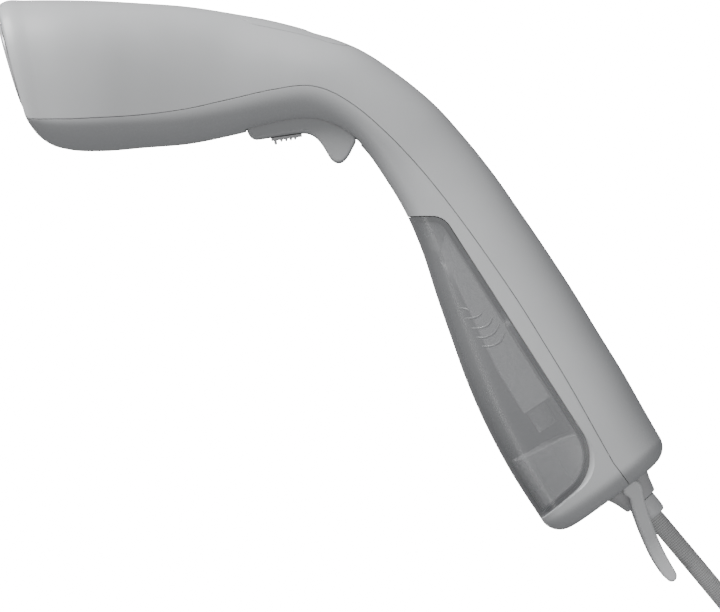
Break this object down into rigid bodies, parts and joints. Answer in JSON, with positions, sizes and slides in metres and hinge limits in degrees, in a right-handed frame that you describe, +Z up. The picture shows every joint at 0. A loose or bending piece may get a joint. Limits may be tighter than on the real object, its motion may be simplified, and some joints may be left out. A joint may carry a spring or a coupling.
{
  "type": "garment steamer",
  "caption": "Handheld garment steamer lying on its side: slanted steam plate, trigger with sliding lock, removable tank in the curved grip, hanging loop, coiled braided cord and plug.",
  "frame": {"origin": "bottom centre of the steamer's bounding box without its cord, on the surface it lies on", "axes": "the steamer lies on its side: +X from the steam plate to the cord, +Y from the base to the back of the head, +Z up out of its side"},
  "size_m": [0.3715, 0.4104, 0.076],
  "materials": {
    "shell_plastic": "fine satin texture",
    "trim_plastic": "satin",
    "loop_plastic": "satin",
    "dark_plastic": "satin",
    "black_plastic": "moulded",
    "pale_plastic": "moulded",
    "tank_plastic": "smoky, translucent",
    "lens_plastic": "diffusing",
    "coated_plate": "smooth ceramic coat",
    "cast_aluminium": "die cast",
    "steel": "zinc plated",
    "brass": "drawn",
    "pin_metal": "nickel plated",
    "black_rubber": "moulded",
    "plug_rubber": "matt overmoulded",
    "hose_plastic": "silicone",
    "wire_plastic": "insulation",
    "board": "solder resist",
    "cord_fabric": "braided"
  },
  "bodies": {
    "housing": {"upper_shell": "shell_plastic", "lower_shell": "shell_plastic", "steam_plate": "coated_plate", "plate_gasket": "black_rubber", "steam_chamber": "cast_aluminium", "chamber_cover": "cast_aluminium", "heating_element": "steel", "thermostat": "pale_plastic", "thermal_fuse": "brass", "heat_shield": "pale_plastic", "chamber_screws": "steel", "control_panel": "trim_plastic", "indicator_lens": "lens_plastic", "button_board": "board", "trigger_pin": "steel", "trigger_bracket": "pale_plastic", "micro_switch": "black_plastic", "dock_nozzle": "dark_plastic", "dock_seal": "black_rubber", "inlet_hose": "hose_plastic", "pump_body": "black_plastic", "pump_mounts": "black_rubber", "outlet_hose": "hose_plastic", "circuit_board": "board", "relay": "black_plastic", "capacitor": "pale_plastic", "terminal_block": "pale_plastic", "wiring": "wire_plastic", "shell_screws": "steel", "cord_clamp": "pale_plastic", "clamp_screws": "steel", "inner_lead": "cord_fabric", "gland_collar": "dark_plastic", "strain_relief": "trim_plastic", "power_cord": "cord_fabric", "cord_coil": "cord_fabric", "cord_tie": "black_rubber", "plug_lead": "cord_fabric", "plug_body": "plug_rubber", "plug_pins": "pin_metal"},
    "trigger_body": {"trigger": "trim_plastic", "trigger_spring": "steel"},
    "lock_body": {"trigger_lock": "dark_plastic"},
    "switch_body": {"switch_plunger": "black_plastic"},
    "button_body": {"power_button": "trim_plastic"},
    "tank_body": {"water_tank": "tank_plastic", "tank_floor": "dark_plastic", "tank_valve": "dark_plastic", "pickup_tube": "hose_plastic", "intake_filter": "pale_plastic"},
    "cap_body": {"tank_cap": "dark_plastic", "cap_seal": "black_rubber"},
    "loop_body": {"hanging_loop": "loop_plastic"},
    "pump_piston": {"pump_plunger": "steel"}
  },
  "joints": [
    {"name": "trigger_pull", "type": "hinge", "parent": "housing", "child": "trigger_body", "pos_m": [-0.033, 0.0746, 0.038], "axis": [0, 0, 1], "range_deg": [0, 5], "stiffness_Nm_per_rad": 0.9},
    {"name": "lock_slide", "type": "slide", "parent": "trigger_body", "child": "lock_body", "axis": [-0.9898, -0.1426, 0], "range_m": [0, 0.003]},
    {"name": "switch_press", "type": "slide", "parent": "housing", "child": "switch_body", "axis": [0, 1, 0], "range_m": [0, 0.0016]},
    {"name": "button_press", "type": "slide", "parent": "housing", "child": "button_body", "axis": [-0.274, -0.9617, 0], "range_m": [0, 0.0012], "stiffness_N_per_m": 900},
    {"name": "tank_release", "type": "slide", "parent": "housing", "child": "tank_body", "axis": [-0.8429, -0.538, 0], "range_m": [0, 0.05]},
    {"name": "cap_turn", "type": "hinge", "parent": "tank_body", "child": "cap_body", "pos_m": [0.07539, -0.01931, 0.038], "axis": [0.8429, 0.538, 0], "range_deg": [0, 90]},
    {"name": "loop_swing", "type": "hinge", "parent": "housing", "child": "loop_body", "pos_m": [0.12599, -0.08519, 0.038], "axis": [0, 0, 1], "range_deg": [-50, 5]},
    {"name": "pump_stroke", "type": "slide", "parent": "housing", "child": "pump_piston", "axis": [0.538, -0.8429, 0], "range_m": [-0.002, 0.002], "stiffness_N_per_m": 2500}
  ],
  "couplings": [
    {"joint": "switch_press", "follows": "trigger_pull", "m_per_rad": 0.018}
  ]
}
